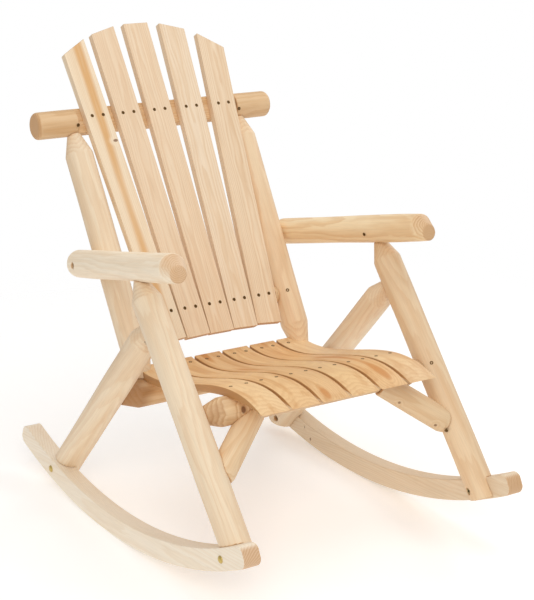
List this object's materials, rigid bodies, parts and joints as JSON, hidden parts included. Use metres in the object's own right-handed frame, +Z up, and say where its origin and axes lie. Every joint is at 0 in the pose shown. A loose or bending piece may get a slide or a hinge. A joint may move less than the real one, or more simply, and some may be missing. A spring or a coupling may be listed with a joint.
{
  "type": "log rocking chair",
  "caption": "Rustic log rocking chair with a fanned slat back, scooped slat seat, level log arms and sawn arc rockers.",
  "frame": {"origin": "on the floor, at the line where the rockers touch it, midway between the rockers", "axes": "+Z up, -Y the way the sitter faces, +X to the right seen from the front camera side"},
  "size_m": [0.705, 1.0697, 1.015],
  "materials": {
    "peeled_log_fir": "satin",
    "rocker_fir": "satin",
    "back_slat_fir": "satin",
    "seat_slat_fir": "satin",
    "screw_steel": "satin",
    "plated_bolt": "satin",
    "dark_nut": "satin",
    "dowel_wood": "satin"
  },
  "bodies": {
    "root": {"arm_bolts": "plated_bolt", "arm_left": "peeled_log_fir", "arm_right": "peeled_log_fir", "arm_screws": "screw_steel", "back_post_left": "peeled_log_fir", "back_post_right": "peeled_log_fir", "back_slat_1": "back_slat_fir", "back_slat_2": "back_slat_fir", "back_slat_3": "back_slat_fir", "back_slat_4": "back_slat_fir", "back_slat_5": "back_slat_fir", "back_slat_screws": "screw_steel", "brace_screws": "screw_steel", "front_leg_left": "peeled_log_fir", "front_leg_right": "peeled_log_fir", "front_seat_rail": "peeled_log_fir", "knee_brace_left": "peeled_log_fir", "knee_brace_right": "peeled_log_fir", "leg_screws": "screw_steel", "lower_back_rail": "peeled_log_fir", "post_dowels": "dowel_wood", "post_screws": "screw_steel", "rear_leg_left": "peeled_log_fir", "rear_leg_right": "peeled_log_fir", "rear_seat_rail": "peeled_log_fir", "rocker_bolts": "plated_bolt", "rocker_left": "rocker_fir", "rocker_nuts": "dark_nut", "rocker_right": "rocker_fir", "seat_slat_1": "seat_slat_fir", "seat_slat_2": "seat_slat_fir", "seat_slat_3": "seat_slat_fir", "seat_slat_4": "seat_slat_fir", "seat_slat_5": "seat_slat_fir", "seat_slat_6": "seat_slat_fir", "seat_slat_screws": "screw_steel", "top_rail": "peeled_log_fir", "top_rail_screws": "screw_steel"}
  },
  "joints": []
}
